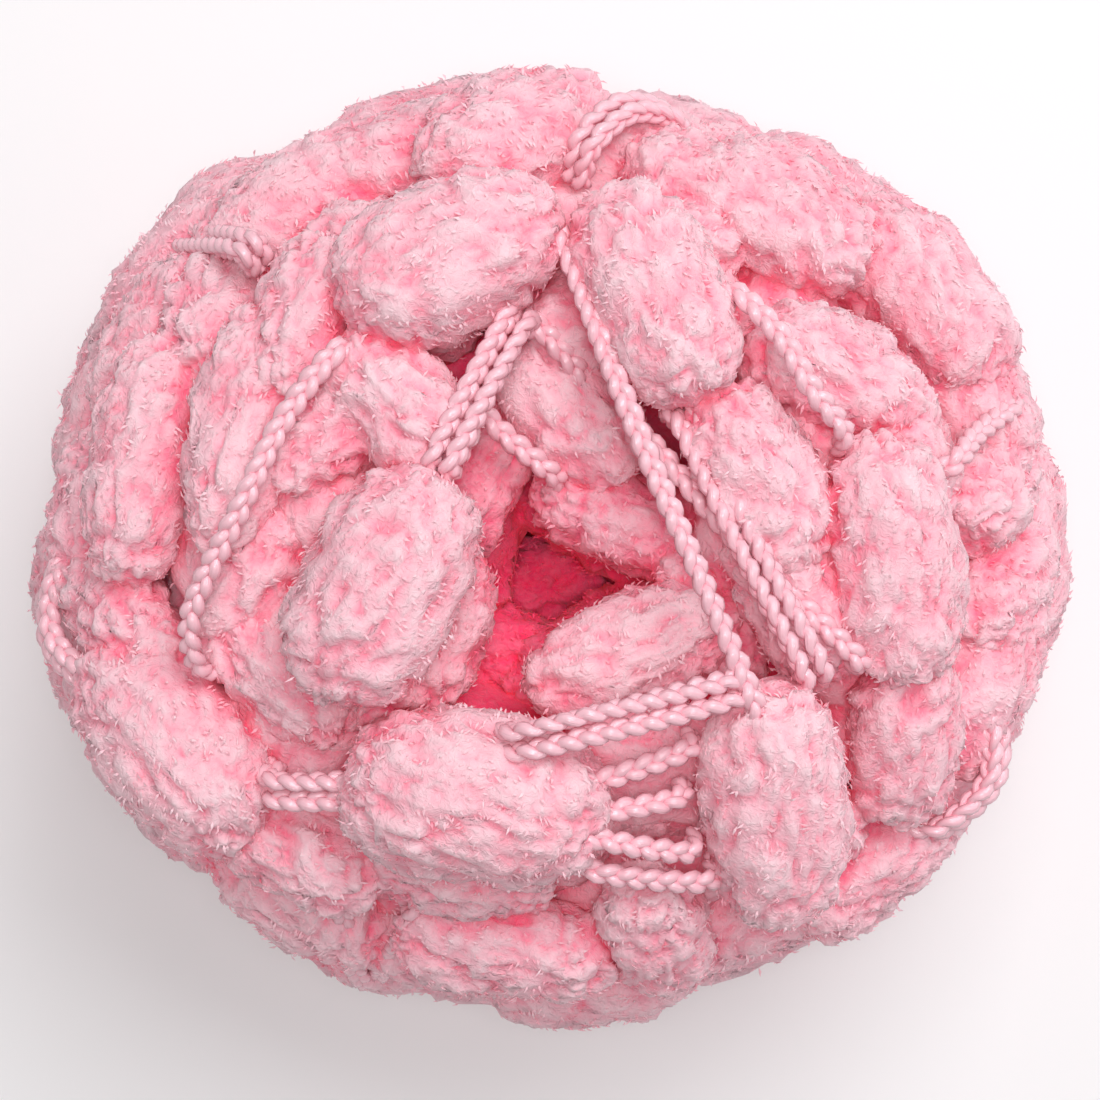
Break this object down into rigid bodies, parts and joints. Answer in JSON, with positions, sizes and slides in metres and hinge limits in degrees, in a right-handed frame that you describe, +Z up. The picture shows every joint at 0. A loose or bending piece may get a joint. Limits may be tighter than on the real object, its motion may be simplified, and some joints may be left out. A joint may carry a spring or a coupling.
{
  "type": "ball of pom pom yarn",
  "caption": "Wound ball of pom pom yarn: fluffy oval pompoms on a thin braided cord, lying on a small flat spot with its open centre facing up.",
  "frame": {"origin": "a point in the middle of the flat spot that the ball rests on", "axes": "+Z up, out of the ball's open centre; +X along its longest side; +Y to the top of the picture"},
  "size_m": [0.1252, 0.1158, 0.0894],
  "materials": {
    "yarn": "pale pink polyester: short fluffy pile on the pompoms, satin braid on the bare cord"
  },
  "bodies": {
    "root": {"yarn_ball": "yarn"}
  },
  "joints": []
}
